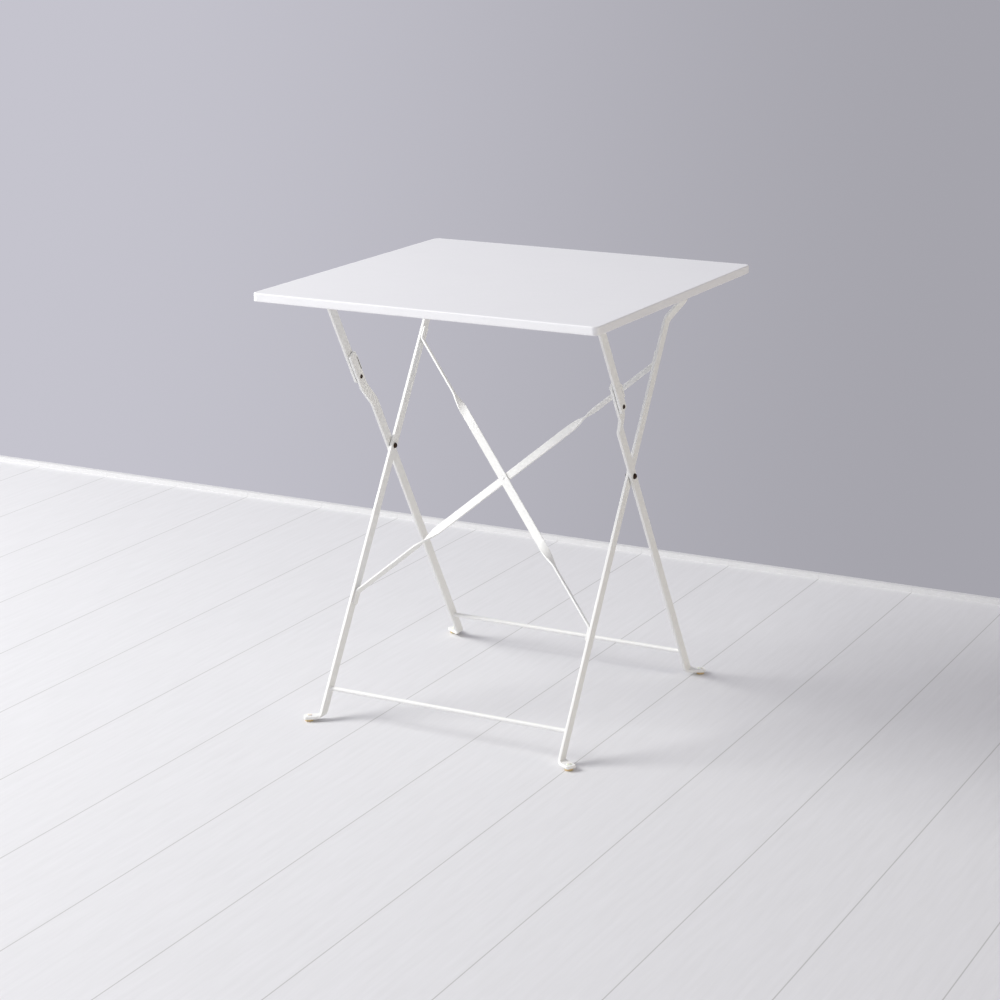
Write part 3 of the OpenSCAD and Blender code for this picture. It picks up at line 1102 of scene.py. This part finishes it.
def pan_profile():
    """(inset from the outside, height) down the sheet's outer skin and back up its inner skin."""
    low, high = top_low.z, top_high.z
    tip = SHEET / 2
    outer = quarter((FOLD_RADIUS, high - FOLD_RADIUS), FOLD_RADIUS, 90)
    outer += quarter((RETURN_RADIUS, low + RETURN_RADIUS), RETURN_RADIUS, 180)
    outer += quarter((RETURN_WIDTH - tip, low + tip), tip, 270)
    inner = quarter((RETURN_WIDTH - tip, low + tip), tip, 0)
    inner += reversed(quarter((RETURN_RADIUS, low + RETURN_RADIUS), RETURN_RADIUS - SHEET, 180))
    inner += reversed(quarter((FOLD_RADIUS, high - FOLD_RADIUS), FOLD_RADIUS - SHEET, 90))
    return outer + inner


def pan_ring(inset, height):
    """Points round the square at an inset and a height, corners included."""
    radius = max(CORNER_RADIUS - inset, CORNER_RADIUS / 2)
    ring = []
    for start, (sx, sy) in zip((0, 90, 180, 270), ((1, 1), (-1, 1), (-1, -1), (1, -1))):
        cx = sx * (pan_half_x - inset - radius)
        cy = sy * (pan_half_y - inset - radius)
        for i in range(CORNER_POINTS + 1):
            a = math.radians(start + 90 * i / CORNER_POINTS)
            ring.append(Vector((cx + radius * math.cos(a), cy + radius * math.sin(a), height)))
    return ring


rings = [pan_ring(inset, height) for inset, height in pan_profile()]
points = [point for ring in rings for point in ring]
faces = rings_joined(len(rings), len(rings[0])) + ring_caps(len(rings), len(rings[0]))
make_piece("top_panel_pan", points, faces, top_paint, "tabletop", ("top_panel",))
print("pan", round(2 * pan_half_x / MM), "x", round(2 * pan_half_y / MM), "mm")

# %% [markdown]
# ## Side rails
#
# Under each side of the top runs a folded angle, which stiffens the sheet and
# carries the hinges. It is a strip as long as the rail, bent once. A lug with a
# round end hangs from it at each hinge. The flat bar's function makes both: for
# the rail, the bent line is its cross-section and the rail's length is its width.

# %% Side rails
RAIL_THICK = 3 * MM
RAIL_DEPTH = 12 * MM
RAIL_FLANGE = 16 * MM
RAIL_BEND = 3.5 * MM
RAIL_CORNERS = (1.5 * MM, 3 * MM)
LUG_RADIUS = 10 * MM
LUG_THICK = 2.9 * MM
LUG_CORNER = 1 * MM

under_top = top_high.z - SHEET
rail_low, rail_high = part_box("side_rail_right")
rail_length = rail_high.y - rail_low.y
web_x = rail_x + RAIL_THICK / 2
flange_z = under_top - RAIL_THICK / 2
rail_line = bent_line(
    [(web_x, under_top - RAIL_DEPTH), (web_x, flange_z), (rail_x + RAIL_FLANGE, flange_z)],
    (RAIL_BEND,),
)


def rail_shape(side):
    """Points and faces of one folded angle."""

    def place(s, along, height):
        (x, z), _, (nx, nz) = on_line(rail_line, s)
        return Vector((side * (x + nx * height), along, z + nz * height))

    return flat_bar(
        line_length(rail_line), rail_length, RAIL_THICK, STRIP_EDGE, RAIL_CORNERS, place,
        bend_stops(rail_line, COARSE_STEP),
    )


def lug_shape(side, hinge):
    """Points and faces of the lug round one hinge."""

    def place(s, across, height):
        z = hinge[1] - LUG_RADIUS + s
        return Vector((side * (web_x + height), hinge[0] + across, z))

    length = flange_z - hinge[1] + LUG_RADIUS
    corners = (LUG_RADIUS - END_FLAT, LUG_CORNER)
    return flat_bar(length, 2 * LUG_RADIUS, LUG_THICK, STRIP_EDGE, corners, place)


for side_name, side in SIDES:
    points, faces = rail_shape(side)
    for hinge in (front_hinge, back_hinge):
        lug_points, lug_faces = lug_shape(side, hinge)
        faces += [[i + len(points) for i in face] for face in lug_faces]
        points += lug_points
    name = f"side_rail_{side_name}"
    make_piece(f"{name}_angle", points, faces, frame_paint, "tabletop", (name,))
print("rails", round(rail_length / MM), "mm long")

# %% [markdown]
# ## Parts that stay as the CAD has them
#
# The spacers between the bars are plain rings, and the rivet at the braces'
# crossing is painted over with the frame. Their CAD shapes are right, so they
# stay and get their finish.

# %% Finish the CAD parts that stay
STAYING = {
    "main_washers": rivet_steel,
    "hinge_washers": rivet_steel,
    "brace_rivet": frame_paint,
}
for name, material in STAYING.items():
    part = frame["nodes"][name]
    part.data.materials.clear()
    part.data.materials.append(material)
print("kept from CAD:", sorted(STAYING))

# %% [markdown]
# ## Painted floor boards
#
# The table stands on pale painted boards, 190 mm wide, that run away from the
# front. A brush drags the paint along the grain, so its tint drifts in long
# streaks, and the joint between two boards is a thin dark line. Each board could
# be a box of its own, but they all lie flush, so one plane and a material do it.
# The floor ends a little way behind the table, at a low white skirting.

# %% Floor and skirting
FLOOR_BACK = 0.875
FLOOR_FRONT = -9.0
FLOOR_SIDE = 9.0
SKIRTING_HEIGHT = 10 * MM
SKIRTING_DEPTH = 12 * MM
BOARD_WIDTH = 190 * MM
JOINT_WIDTH = 3 * MM
FIRST_JOINT = 44 * MM
GRAIN_WIDTH = 9 * MM
GRAIN_STRETCH = 14.0


def board_paint(name, colour, shade, joint_colour, roughness):
    """Brushed paint on boards that run along Y."""
    material, tree = empty_material(name)
    place = add_node(tree, "ShaderNodeTexCoord").outputs["Object"]
    along_grain = add_node(
        tree,
        "ShaderNodeMapping",
        {"Scale": (1.0, 1 / GRAIN_STRETCH, 1.0)},
        {"Vector": place},
    )
    streaks = add_node(
        tree,
        "ShaderNodeTexNoise",
        {"Scale": 1 / GRAIN_WIDTH, "Detail": 4.0, "Roughness": 0.6},
        {"Vector": along_grain.outputs["Vector"]},
    )
    tint = add_node(
        tree,
        "ShaderNodeMix",
        {COLOUR_A: linear(colour), COLOUR_B: linear(shade)},
        {FACTOR: streaks.outputs["Fac"]},
        data_type="RGBA",
    )
    parts = add_node(tree, "ShaderNodeSeparateXYZ", links={"Vector": place})
    across = add_node(
        tree, "ShaderNodeMath", {1: FIRST_JOINT}, {0: parts.outputs["X"]}, operation="SUBTRACT"
    )
    to_joint = add_node(
        tree, "ShaderNodeMath", {1: BOARD_WIDTH / 2}, {0: across.outputs[0]}, operation="PINGPONG"
    )
    joint = add_node(
        tree,
        "ShaderNodeMapRange",
        {"From Min": 0.0, "From Max": JOINT_WIDTH / 2, "To Min": 1.0, "To Max": 0.0},
        {"Value": to_joint.outputs[0]},
    )
    paint = add_node(
        tree,
        "ShaderNodeMix",
        {COLOUR_B: linear(joint_colour)},
        {FACTOR: joint.outputs["Result"], COLOUR_A: tint.outputs[MIXED]},
        data_type="RGBA",
    )
    shader = add_node(
        tree,
        "ShaderNodeBsdfPrincipled",
        {"Roughness": roughness, "IOR": 1.5},
        {"Base Color": paint.outputs[MIXED]},
    )
    add_node(tree, "ShaderNodeOutputMaterial", links={"Surface": shader.outputs["BSDF"]})
    return material


def staged(name, points, faces, material):
    """A part of the room, which isn't part of the table."""
    mesh = bpy.data.meshes.new(name)
    mesh.from_pydata(points, [], faces)
    mesh.materials.append(material)
    made = bpy.data.objects.new(name, mesh)
    bpy.context.scene.collection.objects.link(made)
    made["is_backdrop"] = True


staged(
    "floor",
    [
        (-FLOOR_SIDE, FLOOR_FRONT, 0.0),
        (FLOOR_SIDE, FLOOR_FRONT, 0.0),
        (FLOOR_SIDE, FLOOR_BACK, 0.0),
        (-FLOOR_SIDE, FLOOR_BACK, 0.0),
    ],
    [(0, 1, 2, 3)],
    board_paint("pale paint on floor boards", "#e6e6e8", "#dadadb", "#b4b4b2", 0.6),
)
staged(
    "skirting",
    [
        (side * FLOOR_SIDE, FLOOR_BACK + depth, height)
        for height in (0.0, SKIRTING_HEIGHT)
        for depth in (0.0, SKIRTING_DEPTH)
        for side in (LEFT, RIGHT)
    ],
    [(0, 1, 5, 4), (2, 3, 7, 6), (4, 5, 7, 6), (0, 2, 6, 4), (1, 3, 7, 5), (0, 1, 3, 2)],
    board_paint("white paint on skirting", "#e4e4e4", "#d8d8d8", "#d8d8d8", 0.45),
)
print("floor ends", FLOOR_BACK, "m behind the middle of the table")

# %% [markdown]
# The world gives the background and the light that fills the shadows. The
# background is like a wall that fades from the window's side to the shaded side.
# A wall built as a mesh would stand in the way when the table is seen from
# behind, and the world never does.

# %% Background
SHADE_SIDE = -0.27  # the X of a direction from which the wall is all shade
WINDOW_SIDE = -0.63  # and the X at which it is lightest

world = bpy.data.worlds.new("lilac grey background")
world.use_nodes = True
bpy.context.scene.world = world
sky = world.node_tree
sky.nodes.clear()
direction = add_node(sky, "ShaderNodeTexCoord").outputs["Generated"]
parts = add_node(sky, "ShaderNodeSeparateXYZ", links={"Vector": direction})
to_window = add_node(
    sky,
    "ShaderNodeMapRange",
    {"From Min": SHADE_SIDE, "From Max": WINDOW_SIDE, "To Min": 0.0, "To Max": 1.0},
    {"Value": parts.outputs["X"]},
    interpolation_type="SMOOTHSTEP",
)
wall_colour = add_node(
    sky,
    "ShaderNodeMix",
    {COLOUR_A: linear("#a5a4ac"), COLOUR_B: linear("#c5c4ce")},
    {FACTOR: to_window.outputs["Result"]},
    data_type="RGBA",
)
glow = add_node(
    sky, "ShaderNodeBackground", {"Strength": 1.0}, {"Color": wall_colour.outputs[MIXED]}
)
add_node(sky, "ShaderNodeOutputWorld", links={"Surface": glow.outputs["Background"]})
print("background fades between X", SHADE_SIDE, "and", WINDOW_SIDE)

# %% [markdown]
# ## Light
#
# The light is like that of a large window on the left and a little in front. A
# big soft box makes wide, soft shadows that fall to the right, and leaves the
# faces on the right in even shade. A sun lamp would make hard shadows, and a
# bright world none. A weak warm light comes back from the room.


# %% Soft boxes
def soft_box(name, place, colour, size, watts):
    """A square area light that faces the middle of the table."""
    data = bpy.data.lights.new(name, "AREA")
    data.shape = "SQUARE"
    data.size = size
    data.energy = watts
    data.color = linear(colour)[:3]
    light = bpy.data.objects.new(name, data)
    light.location = place
    towards = Vector((0.0, 0.0, top_high.z / 2)) - Vector(place)
    light.rotation_euler = towards.to_track_quat("-Z", "Y").to_euler()
    light.visible_camera = False
    bpy.context.scene.collection.objects.link(light)


soft_box("window", place=(-4.0, -1.9, 3.3), colour="#fffffc", size=2.6, watts=280.0)
soft_box("front fill", place=(-0.6, -4.2, 2.4), colour="#fffefa", size=2.5, watts=22.0)
soft_box("warm room", place=(4.6, 0.6, 1.0), colour="#fff0c6", size=2.0, watts=34.0)
bpy.context.scene.view_settings.view_transform = "Standard"

# %% [markdown]
# ## Finish
#
# The size of the visible model is printed beside the size of the CAD model.

# %% Sizes and finish
visual_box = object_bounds()
sizes = {
    "cad": [list(corner) for corner in cad_box],
    "visual": [list(corner) for corner in visual_box],
}
print("CAD box", sizes["cad"])
print("visual box", sizes["visual"])
